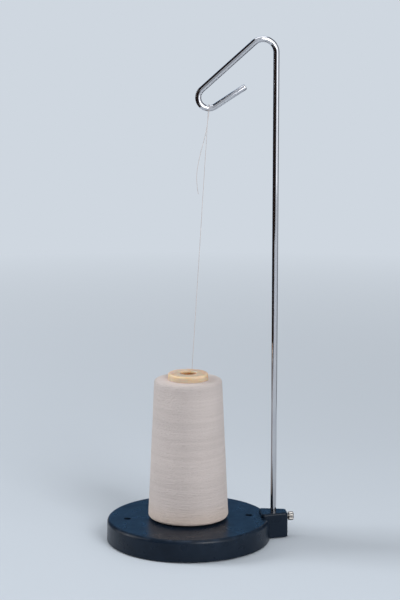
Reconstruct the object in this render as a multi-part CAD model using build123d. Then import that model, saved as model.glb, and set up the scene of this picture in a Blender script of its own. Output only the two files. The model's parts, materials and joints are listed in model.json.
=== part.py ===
from build123d import *
import os
from math import pi, radians, tan

# Stand for one cone of sewing thread: a weighted round base, a bent wire rod that leads the
# thread up and over, and a cone of thread on the base's pin. Millimetres, Z up.
# The origin is the middle of the base on the table. X points to the rod, Y to the back.

# Fits
CUT_OVERRUN = 2.0
RUNNING_CLEARANCE = 0.05
PRESS_CLEARANCE = 0.02
LOOSE_CLEARANCE = 0.3
HOLE_CLEARANCE = 0.5

# Height of the base, from the table up
FOOT_THICKNESS = 2.0
COVER_THICKNESS = 2.0
PLATE_THICKNESS = 6.0
RIB_DEPTH = 3.0
ROOF_THICKNESS = 2.5

# Moulded base shell
BASE_RADIUS = 56.0
BASE_WALL = 2.5
BASE_DRAFT_DEG = 1.0
RIM_LIFT = 1.0
TOP_EDGE_ROUND = 2.5
RIB_THICKNESS = 1.8
RIB_COUNT = 12
RING_RIB_RADIUS = 30.0
FOOT_INSET = 2.5
PLATE_INSET = 1.0

# Two holes that screw the base to a table
TABLE_HOLE_INSET = 14.0
TABLE_HOLE_RADIUS = 2.5
TABLE_TUBE_WALL = 2.0

# Screws of the bottom cover
COVER_SCREW_COUNT = 3
COVER_SCREW_FIRST_DEG = 90.0
COVER_SCREW_INSET = 12.0
COVER_SCREW_RADIUS = 1.25
COVER_SCREW_LENGTH = 8.5
COVER_SCREW_HEAD_RADIUS = 2.6
COVER_SCREW_SLOT_WIDTH = 0.7
COVER_SCREW_SLOT_DEPTH = 0.7
COVER_SCREW_TIP = 0.5
BOSS_RADIUS = 3.5
PILOT_FLOOR = 1.0

# Spool pin, its washer and its nut
PIN_RADIUS = 3.0
PIN_HEIGHT = 79.5
PIN_TIP_ROUND = 2.0
PIN_COLLAR_RADIUS = 7.0
PIN_COLLAR_THICKNESS = 1.5
PIN_SHANK_RADIUS = 2.4
PIN_SHANK_END = 1.0
PIN_PAD_RADIUS = 10.0
PIN_PAD_DEPTH = 1.5
PIN_END_CHAMFER = 0.4
WASHER_RADIUS = 5.0
WASHER_THICKNESS = 1.0
NUT_ACROSS_FLATS = 8.0
NUT_THICKNESS = 4.0

# Lug that holds the rod
LUG_REACH = 12.5
LUG_ROOT_INSET = 6.0
LUG_ROOT_WIDTH = 18.6
LUG_END_WIDTH = 10.6
LUG_RISE = 2.5
LUG_CORNER_ROUND = 2.0
LUG_EDGE_ROUND = 1.4

# Bent wire rod
ROD_RADIUS = 2.0
ROD_OFFSET = 3.0
ROD_SOCKET_FLOOR = 2.0
ROD_UPRIGHT = 329.3
ROD_TOP_BEND_RADIUS = 9.0
ROD_TOP_BEND_DEG = 131.4
ROD_UPPER_LEG = 46.3
ROD_LOOP_RADIUS = 7.2
ROD_LOOP_DEG = 171.2
ROD_LOWER_LEG = 24.3
ROD_END_ROUND = 0.8

# Clamp screw and the brass insert it turns in
SCREW_RADIUS = 1.45
SCREW_DROP = 3.8
SCREW_HEAD_RADIUS = 3.0
SCREW_HEAD_THICKNESS = 3.6
SCREW_HEAD_GAP = 0.9
SCREW_HEAD_CHAMFER = 0.4
SCREW_NECK_RADIUS = 1.9
KNURL_COUNT = 20
KNURL_RADIUS = 0.28
SCREW_SLOT_WIDTH = 0.8
SCREW_SLOT_DEPTH = 1.0
INSERT_RADIUS = 2.3
INSERT_LENGTH = 6.0
INSERT_GROOVE_WIDTH = 1.2
INSERT_GROOVE_DEPTH = 0.35

# Tube of the thread cone
TUBE_BOTTOM_RADIUS = 20.9
TUBE_TOP_RADIUS = 13.5
TUBE_HEIGHT = 101.2
TUBE_WALL = 1.5
TUBE_MOUTH_RADIUS = 6.0
TUBE_LIP_ROUND = 0.9

# Thread wound on the tube
WINDING_START = 0.7
WINDING_TUBE_SHOW = 4.2
WINDING_FOOT_BUILD = 6.75
WINDING_TOP_BUILD = 9.29
WINDING_FOOT_ROUND = 2.4
WINDING_SHOULDER_ROUND = 2.2

# Ribbed holder that centres the cone on the pin
HOLDER_HEIGHT = 74.0
HOLDER_HUB_WALL = 2.0
HOLDER_FLANGE_THICKNESS = 2.0
FIN_COUNT = 6
FIN_THICKNESS = 1.6
FIN_HEIGHT = 66.0
FIN_SLOPE_RISE = 5.0

# Loose thread: its thickness, and its route from the cone over the loop to its hanging end
STRAND_RADIUS = 0.2
STRAND_BEND_SHARE = 0.45
STRAND_ROUTE = [
    (4.6, 23.66, 108.0),
    (14.1, 2.5, 298.6),
    (14.1, -2.5, 298.6),
    (13.4, -3.2, 291.0),
    (11.6, -3.6, 279.5),
    (7.4, -4.4, 265.0),
    (4.6, -5.2, 250.0),
    (6.4, -5.6, 239.5),
]

# Levels and places that follow from the sizes above
COVER_BOTTOM = FOOT_THICKNESS
PLATE_BOTTOM = COVER_BOTTOM + COVER_THICKNESS
PLATE_TOP = PLATE_BOTTOM + PLATE_THICKNESS
ROOF_BOTTOM = PLATE_TOP + RIB_DEPTH
BASE_TOP = ROOF_BOTTOM + ROOF_THICKNESS
CAVITY_RADIUS = BASE_RADIUS - BASE_WALL
PAD_BOTTOM = ROOF_BOTTOM - PIN_PAD_DEPTH
WASHER_BOTTOM = PAD_BOTTOM - WASHER_THICKNESS
NUT_BOTTOM = WASHER_BOTTOM - NUT_THICKNESS
LUG_TOP = BASE_TOP + LUG_RISE
LUG_END = BASE_RADIUS + LUG_REACH
ROD_X = BASE_RADIUS + ROD_OFFSET
SOCKET_FLOOR = RIM_LIFT + ROD_SOCKET_FLOOR
SOCKET_RADIUS = ROD_RADIUS + RUNNING_CLEARANCE
ROD_FOOT = SOCKET_FLOOR + LOOSE_CLEARANCE
SCREW_LEVEL = LUG_TOP - SCREW_DROP
CONE_BOTTOM = BASE_TOP + LOOSE_CLEARANCE
TUBE_SLOPE = (TUBE_BOTTOM_RADIUS - TUBE_TOP_RADIUS) / TUBE_HEIGHT


def turned(*profile):
    """Solid of revolution about Z, from corners given as (radius, height)."""
    return revolve(make_face(Plane.XZ * Polyline(*profile, close=True)), Axis.Z)


def upright_cylinder(radius, low, high, x=0, y=0):
    """Round bar along Z between two heights."""
    align = (Align.CENTER, Align.CENTER, Align.MIN)
    return Pos(x, y, low) * Cylinder(radius, high - low, align=align)


def level_cylinder(radius, near, far, height):
    """Round bar along X between two distances from the base's axis."""
    align = (Align.CENTER, Align.CENTER, Align.MIN)
    return Pos(near, 0, height) * Rot(Y=90) * Cylinder(radius, far - near, align=align)


def outer_rim(solid, end):
    """Largest circular edge at the lowest (end 0) or highest (end -1) level."""
    return solid.edges().filter_by(GeomType.CIRCLE).group_by(Axis.Z)[end].sort_by(SortBy.RADIUS)[-1]


def table_hole_places():
    """Centres of the two table screw holes, on the X axis."""
    reach = BASE_RADIUS - TABLE_HOLE_INSET
    return [(-reach, 0), (reach, 0)]


def cover_screw_places():
    """Centres of the cover's screws, evenly round the base."""
    circle = BASE_RADIUS - COVER_SCREW_INSET
    places = PolarLocations(circle, COVER_SCREW_COUNT, start_angle=COVER_SCREW_FIRST_DEG)
    return [(spot.position.X, spot.position.Y) for spot in places]


def base_disc():
    """Outer body of the base: a drafted disc with a rounded top edge."""
    top_radius = BASE_RADIUS - (BASE_TOP - RIM_LIFT) * tan(radians(BASE_DRAFT_DEG))
    disc = turned((0, RIM_LIFT), (BASE_RADIUS, RIM_LIFT), (top_radius, BASE_TOP), (0, BASE_TOP))
    return fillet(outer_rim(disc, -1), TOP_EDGE_ROUND)


def lug_block():
    """Tapered block that stands out of the base and carries the rod."""
    root = BASE_RADIUS - LUG_ROOT_INSET
    plan = make_face(Polyline(
        (root, -LUG_ROOT_WIDTH / 2),
        (LUG_END, -LUG_END_WIDTH / 2),
        (LUG_END, LUG_END_WIDTH / 2),
        (root, LUG_ROOT_WIDTH / 2),
        close=True,
    ))
    plan = fillet(plan.vertices(), LUG_CORNER_ROUND)
    block = extrude(Pos(0, 0, RIM_LIFT) * plan, amount=LUG_TOP - RIM_LIFT)
    return fillet(block.edges().group_by(Axis.Z)[-1], LUG_EDGE_ROUND)


def base_ribs():
    """Radial ribs and one ring rib under the roof, which press on the ballast plate."""
    start = PIN_PAD_RADIUS - RIB_THICKNESS
    length = CAVITY_RADIUS + BASE_WALL / 2 - start
    align = (Align.MIN, Align.CENTER, Align.MIN)
    depth = ROOF_BOTTOM + ROOF_THICKNESS / 2 - PLATE_TOP
    rib = Pos(start, 0, PLATE_TOP) * Box(length, RIB_THICKNESS, depth, align=align)
    ring = turned(
        (RING_RIB_RADIUS - RIB_THICKNESS / 2, PLATE_TOP),
        (RING_RIB_RADIUS + RIB_THICKNESS / 2, PLATE_TOP),
        (RING_RIB_RADIUS + RIB_THICKNESS / 2, PLATE_TOP + depth),
        (RING_RIB_RADIUS - RIB_THICKNESS / 2, PLATE_TOP + depth),
    )
    return ring + [Rot(Z=360 * number / RIB_COUNT) * rib for number in range(RIB_COUNT)]


def base_posts():
    """Screw tubes, screw bosses and the pad that the spool pin is bolted to."""
    anchor = ROOF_BOTTOM + ROOF_THICKNESS / 2
    tube = TABLE_HOLE_RADIUS + TABLE_TUBE_WALL
    posts = [upright_cylinder(tube, PLATE_BOTTOM, anchor, x, y) for x, y in table_hole_places()]
    posts += [upright_cylinder(BOSS_RADIUS, PLATE_BOTTOM, anchor, x, y) for x, y in cover_screw_places()]
    posts.append(upright_cylinder(PIN_PAD_RADIUS, PAD_BOTTOM, anchor))
    return posts


def base_holes():
    """Everything bored out of the shell: table holes, pilots, pin hole, rod socket, screw way."""
    above = LUG_TOP + CUT_OVERRUN
    below = -CUT_OVERRUN
    pilot = COVER_SCREW_RADIUS + PRESS_CLEARANCE
    holes = [upright_cylinder(TABLE_HOLE_RADIUS, below, above, x, y) for x, y in table_hole_places()]
    holes += [
        upright_cylinder(pilot, PLATE_BOTTOM - CUT_OVERRUN, ROOF_BOTTOM - PILOT_FLOOR, x, y)
        for x, y in cover_screw_places()
    ]
    holes.append(upright_cylinder(PIN_SHANK_RADIUS + RUNNING_CLEARANCE, below, above))
    holes.append(upright_cylinder(SOCKET_RADIUS, SOCKET_FLOOR, above, ROD_X))
    outside = LUG_END + CUT_OVERRUN
    holes.append(level_cylinder(SCREW_RADIUS + RUNNING_CLEARANCE, ROD_X, outside, SCREW_LEVEL))
    holes.append(level_cylinder(INSERT_RADIUS + PRESS_CLEARANCE, LUG_END - INSERT_LENGTH, outside, SCREW_LEVEL))
    return holes


def base_shell():
    """Moulded shell with its lug, hollow and ribbed from below."""
    cavity = upright_cylinder(CAVITY_RADIUS, RIM_LIFT - CUT_OVERRUN, ROOF_BOTTOM)
    shell = base_disc() + lug_block() - cavity
    return (shell + base_ribs() + base_posts()) - base_holes()


def ballast_plate():
    """Steel disc that keeps the stand upright, with clearance round the shell's posts."""
    plate = upright_cylinder(CAVITY_RADIUS - PLATE_INSET, PLATE_BOTTOM, PLATE_TOP)
    tube = TABLE_HOLE_RADIUS + TABLE_TUBE_WALL + HOLE_CLEARANCE
    boss = BOSS_RADIUS + HOLE_CLEARANCE
    low, high = PLATE_BOTTOM - CUT_OVERRUN, PLATE_TOP + CUT_OVERRUN
    holes = [upright_cylinder(tube, low, high, x, y) for x, y in table_hole_places()]
    holes += [upright_cylinder(boss, low, high, x, y) for x, y in cover_screw_places()]
    holes.append(upright_cylinder(WASHER_RADIUS + HOLE_CLEARANCE, low, high))
    return plate - holes


def countersink(radius, head_radius):
    """Cone of a countersunk head with its face on the cover's underside, and its shank."""
    depth = head_radius - radius
    return turned(
        (0, COVER_BOTTOM),
        (head_radius, COVER_BOTTOM),
        (radius, COVER_BOTTOM + depth),
        (radius, COVER_BOTTOM + COVER_SCREW_LENGTH),
        (0, COVER_BOTTOM + COVER_SCREW_LENGTH),
    )


def bottom_cover():
    """Round lid that closes the shell from below, countersunk for its screws."""
    cover = upright_cylinder(CAVITY_RADIUS - LOOSE_CLEARANCE, COVER_BOTTOM, PLATE_BOTTOM)
    low, high = COVER_BOTTOM - CUT_OVERRUN, PLATE_BOTTOM + CUT_OVERRUN
    way = TABLE_HOLE_RADIUS + HOLE_CLEARANCE
    holes = [upright_cylinder(way, low, high, x, y) for x, y in table_hole_places()]
    sink = countersink(COVER_SCREW_RADIUS + RUNNING_CLEARANCE, COVER_SCREW_HEAD_RADIUS + RUNNING_CLEARANCE)
    holes += [Pos(x, y, 0) * sink for x, y in cover_screw_places()]
    return cover - holes


def cover_screws():
    """Countersunk screws that hold the cover, with a cross recess each."""
    blank = countersink(COVER_SCREW_RADIUS, COVER_SCREW_HEAD_RADIUS)
    blank = chamfer(outer_rim(blank, -1), COVER_SCREW_TIP)
    slot = Pos(0, 0, COVER_BOTTOM) * Box(
        2 * COVER_SCREW_RADIUS, COVER_SCREW_SLOT_WIDTH, 2 * COVER_SCREW_SLOT_DEPTH
    )
    screw = blank - [slot, Rot(Z=90) * slot]
    return Compound([Pos(x, y, 0) * screw.solid() for x, y in cover_screw_places()])


def foot_pad():
    """Soft disc glued under the cover, which the stand rests on."""
    pad = upright_cylinder(CAVITY_RADIUS - FOOT_INSET, 0, FOOT_THICKNESS)
    way = TABLE_HOLE_RADIUS + 2 * HOLE_CLEARANCE
    low, high = -CUT_OVERRUN, FOOT_THICKNESS + CUT_OVERRUN
    return pad - [upright_cylinder(way, low, high, x, y) for x, y in table_hole_places()]


def spool_pin():
    """Steel pin with a collar that sits on the base and a shank that passes through it."""
    shank_end = NUT_BOTTOM - PIN_SHANK_END
    pin = turned(
        (0, shank_end),
        (PIN_SHANK_RADIUS, shank_end),
        (PIN_SHANK_RADIUS, BASE_TOP),
        (PIN_COLLAR_RADIUS, BASE_TOP),
        (PIN_COLLAR_RADIUS, BASE_TOP + PIN_COLLAR_THICKNESS),
        (PIN_RADIUS, BASE_TOP + PIN_COLLAR_THICKNESS),
        (PIN_RADIUS, BASE_TOP + PIN_HEIGHT),
        (0, BASE_TOP + PIN_HEIGHT),
    )
    pin = fillet(outer_rim(pin, -1), PIN_TIP_ROUND)
    return chamfer(outer_rim(pin, 0), PIN_END_CHAMFER)


def pin_washer():
    """Flat washer between the shell and the pin's nut."""
    ring = upright_cylinder(WASHER_RADIUS, WASHER_BOTTOM, PAD_BOTTOM)
    return ring - upright_cylinder(PIN_SHANK_RADIUS + RUNNING_CLEARANCE, NUT_BOTTOM, BASE_TOP)


def pin_nut():
    """Hexagon nut on the pin's shank, chamfered on both faces."""
    plan = RegularPolygon(NUT_ACROSS_FLATS / 2, 6, major_radius=False)
    block = extrude(Pos(0, 0, NUT_BOTTOM) * plan, amount=NUT_THICKNESS)
    turned_blank = upright_cylinder(NUT_ACROSS_FLATS / 2 + HOLE_CLEARANCE, NUT_BOTTOM, WASHER_BOTTOM)
    rims = turned_blank.edges().filter_by(GeomType.CIRCLE)
    turned_blank = chamfer(rims, HOLE_CLEARANCE)
    bore = upright_cylinder(PIN_SHANK_RADIUS + RUNNING_CLEARANCE, NUT_BOTTOM - CUT_OVERRUN, BASE_TOP)
    return (block & turned_blank) - bore


def thread_insert():
    """Brass bush in the lug's end that the clamp screw turns in."""
    start = LUG_END - INSERT_LENGTH
    bush = level_cylinder(INSERT_RADIUS, start, LUG_END, SCREW_LEVEL)
    middle = start + (INSERT_LENGTH - INSERT_GROOVE_WIDTH) / 2
    groove = level_cylinder(INSERT_RADIUS + CUT_OVERRUN, middle, middle + INSERT_GROOVE_WIDTH, SCREW_LEVEL)
    groove -= level_cylinder(INSERT_RADIUS - INSERT_GROOVE_DEPTH, start, LUG_END, SCREW_LEVEL)
    bore = level_cylinder(SCREW_RADIUS + RUNNING_CLEARANCE, ROD_X, LUG_END + CUT_OVERRUN, SCREW_LEVEL)
    return bush - groove - bore


def screw_head(near, far):
    """Knurled and slotted head between two distances from the base's axis."""
    head = level_cylinder(SCREW_HEAD_RADIUS, near, far, SCREW_LEVEL)
    head = chamfer(head.edges().filter_by(GeomType.CIRCLE), SCREW_HEAD_CHAMFER)
    axis = Pos(0, 0, SCREW_LEVEL)
    groove = Pos(0, 0, SCREW_HEAD_RADIUS) * level_cylinder(
        KNURL_RADIUS, near - CUT_OVERRUN, far + CUT_OVERRUN, 0
    )
    knurl = [axis * Rot(X=360 * number / KNURL_COUNT) * groove for number in range(KNURL_COUNT)]
    slot = Pos(far, 0, SCREW_LEVEL) * Box(
        2 * SCREW_SLOT_DEPTH, 2 * SCREW_HEAD_RADIUS + CUT_OVERRUN, SCREW_SLOT_WIDTH
    )
    return head - knurl - slot


def clamp_screw():
    """Thumb screw that bears on the rod through the lug's end."""
    near = LUG_END + SCREW_HEAD_GAP
    tip = ROD_X + ROD_RADIUS + LOOSE_CLEARANCE
    shank = level_cylinder(SCREW_RADIUS, tip, near + SCREW_HEAD_GAP, SCREW_LEVEL)
    neck = level_cylinder(SCREW_NECK_RADIUS, near - SCREW_HEAD_GAP / 2, near + SCREW_HEAD_GAP, SCREW_LEVEL)
    return shank + neck + screw_head(near, near + SCREW_HEAD_THICKNESS)


def rod_line():
    """Centreline of the rod: upright, top bend, upper leg, loop bend and lower leg."""
    upright = Line((ROD_X, ROD_FOOT), (ROD_X, ROD_FOOT + ROD_UPRIGHT))
    top_bend = JernArc(upright @ 1, upright % 1, ROD_TOP_BEND_RADIUS, ROD_TOP_BEND_DEG)
    upper_leg = Line(top_bend @ 1, top_bend @ 1 + (top_bend % 1) * ROD_UPPER_LEG)
    loop_bend = JernArc(upper_leg @ 1, upper_leg % 1, ROD_LOOP_RADIUS, ROD_LOOP_DEG)
    lower_leg = Line(loop_bend @ 1, loop_bend @ 1 + (loop_bend % 1) * ROD_LOWER_LEG)
    return Plane.XZ * Wire([*upright.edges(), *top_bend.edges(), *upper_leg.edges(),
                            *loop_bend.edges(), *lower_leg.edges()])


def guide_rod():
    """Round wire along the rod's centreline, with both ends rounded over."""
    line = rod_line()
    section = Plane(line @ 0, z_dir=line % 0) * Circle(ROD_RADIUS)
    rod = sweep(section, path=line)
    ends = [
        edge
        for edge in rod.edges().filter_by(GeomType.CIRCLE)
        if (edge.arc_center - line @ 0).length < ROD_RADIUS or (edge.arc_center - line @ 1).length < ROD_RADIUS
    ]
    return fillet(ends, ROD_END_ROUND)


def tube_radius(height):
    """Outer radius of the cone's tube at a height above its foot."""
    return TUBE_BOTTOM_RADIUS - height * TUBE_SLOPE


def cone_tube():
    """Tapered tube with an inward lip round its mouth."""
    top = CONE_BOTTOM + TUBE_HEIGHT
    lip = TUBE_HEIGHT - TUBE_WALL
    tube = turned(
        (TUBE_BOTTOM_RADIUS - TUBE_WALL, CONE_BOTTOM),
        (TUBE_BOTTOM_RADIUS, CONE_BOTTOM),
        (TUBE_TOP_RADIUS, top),
        (TUBE_MOUTH_RADIUS, top),
        (TUBE_MOUTH_RADIUS, top - TUBE_WALL),
        (tube_radius(lip) - TUBE_WALL, top - TUBE_WALL),
    )
    return fillet(outer_rim(tube, -1), TUBE_LIP_ROUND)


def thread_winding():
    """Body of wound thread round the tube, with rounded foot and shoulder."""
    end = TUBE_HEIGHT - WINDING_TUBE_SHOW
    at_foot = tube_radius(WINDING_START)
    at_top = tube_radius(end)
    winding = turned(
        (at_foot + RUNNING_CLEARANCE, CONE_BOTTOM + WINDING_START),
        (at_foot + WINDING_FOOT_BUILD, CONE_BOTTOM + WINDING_START),
        (at_top + WINDING_TOP_BUILD, CONE_BOTTOM + end),
        (at_top + RUNNING_CLEARANCE, CONE_BOTTOM + end),
    )
    winding = fillet(outer_rim(winding, 0), WINDING_FOOT_ROUND)
    return fillet(outer_rim(winding, -1), WINDING_SHOULDER_ROUND)


def holder_fin():
    """One upright fin, whose outer edge follows the inside of the cone's tube."""
    inside = TUBE_WALL + LOOSE_CLEARANCE
    foot = PIN_COLLAR_THICKNESS
    hub = PIN_RADIUS + HOLDER_HUB_WALL
    profile = Polyline(
        (hub - HOLDER_HUB_WALL / 2, CONE_BOTTOM + foot),
        (tube_radius(foot) - inside, CONE_BOTTOM + foot),
        (tube_radius(FIN_HEIGHT) - inside, CONE_BOTTOM + FIN_HEIGHT),
        (hub - HOLDER_HUB_WALL / 2, CONE_BOTTOM + FIN_HEIGHT + FIN_SLOPE_RISE),
        close=True,
    )
    return extrude(make_face(Plane.XZ * profile), amount=FIN_THICKNESS / 2, both=True)


def cone_holder():
    """Ribbed holder with a hub that turns and lifts on the pin, and a flange at its foot."""
    hub = PIN_RADIUS + HOLDER_HUB_WALL
    foot = CONE_BOTTOM + PIN_COLLAR_THICKNESS
    flange_radius = tube_radius(HOLDER_FLANGE_THICKNESS) - TUBE_WALL - LOOSE_CLEARANCE
    hub_bar = upright_cylinder(hub, foot, CONE_BOTTOM + HOLDER_HEIGHT)
    flange = upright_cylinder(flange_radius, CONE_BOTTOM, CONE_BOTTOM + HOLDER_FLANGE_THICKNESS)
    fins = [Rot(Z=360 * number / FIN_COUNT) * holder_fin() for number in range(FIN_COUNT)]
    recess = upright_cylinder(PIN_COLLAR_RADIUS + HOLE_CLEARANCE, CONE_BOTTOM - CUT_OVERRUN, foot)
    bore = upright_cylinder(PIN_RADIUS + RUNNING_CLEARANCE, BASE_TOP, CONE_BOTTOM + HOLDER_HEIGHT + CUT_OVERRUN)
    return (hub_bar + flange + fins) - recess - bore


def strand_radii():
    """Bend radius at each inner point of the thread's route."""
    points = [Vector(*point) for point in STRAND_ROUTE]
    radii = []
    for before, here, after in zip(points, points[1:], points[2:]):
        turn = (here - before).get_angle(after - here)
        run = min((here - before).length, (after - here).length)
        radii.append(STRAND_BEND_SHARE * run / tan(radians(turn) / 2))
    return radii


def thread_strand():
    """Loose thread from the cone, over the rod's loop, to its hanging end."""
    radii = strand_radii()
    line = FilletPolyline(*STRAND_ROUTE, radius=radii)
    strand = sweep(Plane(line @ 0, z_dir=line % 0) * Circle(STRAND_RADIUS), path=line)
    expected = pi * STRAND_RADIUS ** 2 * line.length
    print("strand bend radii", [round(radius, 2) for radius in radii])
    print("strand length", round(line.length, 2), "volume", round(strand.volume, 3), "section x length",
          round(expected, 3))
    return strand


PIECES = {
    "base_shell": base_shell,
    "ballast_plate": ballast_plate,
    "bottom_cover": bottom_cover,
    "cover_screws": cover_screws,
    "foot_pad": foot_pad,
    "spool_pin": spool_pin,
    "pin_washer": pin_washer,
    "pin_nut": pin_nut,
    "thread_insert": thread_insert,
    "guide_rod": guide_rod,
    "clamp_screw": clamp_screw,
    "cone_holder": cone_holder,
    "cone_tube": cone_tube,
    "thread_winding": thread_winding,
    "thread_strand": thread_strand,
}

os.makedirs("parts", exist_ok=True)
for name, make in PIECES.items():
    export_step(make(), f"parts/{name}.step")
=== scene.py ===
"""Dresses a weighted cone and spool stand: its thread, bent rod, clamp screw, finishes and studio.

Everything is in metres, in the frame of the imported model: the origin is the middle of the base on
the table, X points to the rod, Y to the back and Z up.
"""

import json
import logging
import math
import random
from dataclasses import dataclass
from enum import Enum
from typing import Iterator, Optional, Sequence, Union

import bmesh
import bpy
from mathutils import Color, Matrix, Vector

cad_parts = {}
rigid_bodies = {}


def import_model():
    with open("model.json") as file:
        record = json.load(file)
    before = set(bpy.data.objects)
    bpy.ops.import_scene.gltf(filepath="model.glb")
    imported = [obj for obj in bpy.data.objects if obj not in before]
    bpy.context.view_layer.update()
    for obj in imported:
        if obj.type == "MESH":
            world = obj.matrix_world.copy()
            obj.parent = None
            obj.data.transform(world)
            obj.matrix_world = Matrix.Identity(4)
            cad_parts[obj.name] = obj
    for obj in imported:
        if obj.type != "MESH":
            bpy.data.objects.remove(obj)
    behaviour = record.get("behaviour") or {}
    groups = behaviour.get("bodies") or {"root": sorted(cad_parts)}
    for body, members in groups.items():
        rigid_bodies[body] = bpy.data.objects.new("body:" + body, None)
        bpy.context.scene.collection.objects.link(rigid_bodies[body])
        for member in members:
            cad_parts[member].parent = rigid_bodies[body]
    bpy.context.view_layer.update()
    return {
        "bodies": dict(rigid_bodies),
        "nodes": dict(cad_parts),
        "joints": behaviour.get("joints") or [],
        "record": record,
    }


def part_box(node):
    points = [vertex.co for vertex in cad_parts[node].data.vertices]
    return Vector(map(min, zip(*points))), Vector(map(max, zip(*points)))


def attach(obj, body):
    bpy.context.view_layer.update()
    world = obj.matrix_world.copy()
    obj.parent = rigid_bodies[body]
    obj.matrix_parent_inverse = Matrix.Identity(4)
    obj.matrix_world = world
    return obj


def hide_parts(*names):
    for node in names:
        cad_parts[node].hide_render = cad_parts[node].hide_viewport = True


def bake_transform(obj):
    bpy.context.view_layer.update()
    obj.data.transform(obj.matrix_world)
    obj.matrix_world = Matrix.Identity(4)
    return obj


LOG = logging.getLogger("cone_stand")
MM = 0.001
WELD = 0.001 * MM
FULL_TURN = 2 * math.pi
ALL_SMOOTH_DEG = 180.0

Colour = tuple[float, float, float]
Socket = bpy.types.NodeSocket
Value = Union[float, Sequence[float], Socket]


class Body(Enum):
    """Bodies of the stand that pieces ride on."""

    STAND = "stand"
    ROD = "guide_rod"
    SCREW = "clamp_screw"
    CONE = "thread_cone"


class Side(Enum):
    """Which way a traverse of the winding runs."""

    UP = 1
    DOWN = -1


def tone(red: int, green: int, blue: int) -> Colour:
    """Linear colour of a display colour.

    Args:
        red: red as a screen shows it, from 0 to 255.
        green: green likewise.
        blue: blue likewise.

    Returns:
        The linear values that a shader takes.
    """
    return tuple(Color((red / 255, green / 255, blue / 255)).from_srgb_to_scene_linear())


def opaque(colour: Colour) -> tuple[float, float, float, float]:
    """A colour with full alpha, as colour sockets take it."""
    return (*colour, 1.0)


class Graph:
    """Nodes of one material, with short calls for what the finishes share."""

    def __init__(self, name: str) -> None:
        """Starts a material with its shader and its object coordinates.

        Args:
            name: the material's name.
        """
        self.material = bpy.data.materials.new(name)
        self.material.use_nodes = True
        self.nodes = self.material.node_tree.nodes
        self.links = self.material.node_tree.links
        self.shader = self.nodes["Principled BSDF"]
        self.place: Socket = self.nodes.new("ShaderNodeTexCoord").outputs["Object"]

    def feed(self, socket: Socket, value: Value) -> None:
        """Gives a socket a value, or another node's output."""
        if isinstance(value, bpy.types.NodeSocket):
            self.links.new(value, socket)
        else:
            socket.default_value = value

    def set(self, **values: Value) -> None:
        """Sets the shader's sockets, each named with underscores for spaces."""
        for name, value in values.items():
            self.feed(self.shader.inputs[name.replace("_", " ").title().replace("Ior", "IOR")], value)

    def math(self, operation: str, *values: Value) -> Socket:
        """Result of a Math node.

        Args:
            operation: the node's operation, such as MULTIPLY.
            values: one to three numbers or outputs.

        Returns:
            The node's output.
        """
        node = self.nodes.new("ShaderNodeMath")
        node.operation = operation
        for socket, value in zip(node.inputs, values):
            self.feed(socket, value)
        return node.outputs["Value"]

    def axes(self) -> tuple[Socket, Socket, Socket]:
        """Object coordinates as three outputs."""
        node = self.nodes.new("ShaderNodeSeparateXYZ")
        self.links.new(self.place, node.inputs["Vector"])
        return node.outputs["X"], node.outputs["Y"], node.outputs["Z"]

    def from_axis(self) -> Socket:
        """Distance from the object's own Z axis."""
        x, y, _ = self.axes()
        return self.math("SQRT", self.math("ADD", self.math("MULTIPLY", x, x), self.math("MULTIPLY", y, y)))

    def noise(self, per_metre: Union[float, Sequence[float]], detail: float = 2.0) -> Socket:
        """Noise whose grain is so many to the metre, alike or along each axis.

        Args:
            per_metre: the noise's scale, one number or one for each axis.
            detail: how many finer layers it has.

        Returns:
            The noise, from 0 to 1.
        """
        stretch = self.nodes.new("ShaderNodeMapping")
        self.links.new(self.place, stretch.inputs["Vector"])
        scale = (per_metre,) * 3 if isinstance(per_metre, (int, float)) else per_metre
        stretch.inputs["Scale"].default_value = scale
        node = self.nodes.new("ShaderNodeTexNoise")
        self.links.new(stretch.outputs["Vector"], node.inputs["Vector"])
        node.inputs["Scale"].default_value = 1.0
        node.inputs["Detail"].default_value = detail
        return node.outputs["Fac"]

    def spread(self, value: Socket, low: float, high: float, start: float = 0.0, end: float = 1.0) -> Socket:
        """Maps a value from start..end to low..high, held at both ends.

        Args:
            value: what is mapped.
            low: result at start.
            high: result at end.
            start: the value that gives low.
            end: the value that gives high.

        Returns:
            The mapped value.
        """
        node = self.nodes.new("ShaderNodeMapRange")
        for name, number in (("From Min", start), ("From Max", end), ("To Min", low), ("To Max", high)):
            node.inputs[name].default_value = number
        self.links.new(value, node.inputs["Value"])
        return node.outputs["Result"]

    def blend(self, share: Value, first: Union[Colour, Socket], second: Union[Colour, Socket]) -> Socket:
        """Colour between two others.

        Args:
            share: 0 gives the first colour and 1 the second.
            first: a colour or an output.
            second: a colour or an output.

        Returns:
            The mixed colour.
        """
        node = self.nodes.new("ShaderNodeMix")
        node.data_type = "RGBA"
        share_socket, first_socket, second_socket = node.inputs[0], node.inputs[6], node.inputs[7]
        self.feed(share_socket, share)
        for socket, colour in ((first_socket, first), (second_socket, second)):
            self.feed(socket, colour if isinstance(colour, bpy.types.NodeSocket) else opaque(colour))
        return node.outputs[2]

    def bump(self, height: Socket, depth: float, after: Optional[Socket] = None) -> Socket:
        """Normal of a surface with relief.

        Args:
            height: the relief, from 0 to 1.
            depth: how deep it goes, in metres.
            after: the normal of a coarser relief under it.

        Returns:
            The normal.
        """
        node = self.nodes.new("ShaderNodeBump")
        node.inputs["Distance"].default_value = depth
        self.links.new(height, node.inputs["Height"])
        if after is not None:
            self.links.new(after, node.inputs["Normal"])
        return node.outputs["Normal"]


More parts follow.
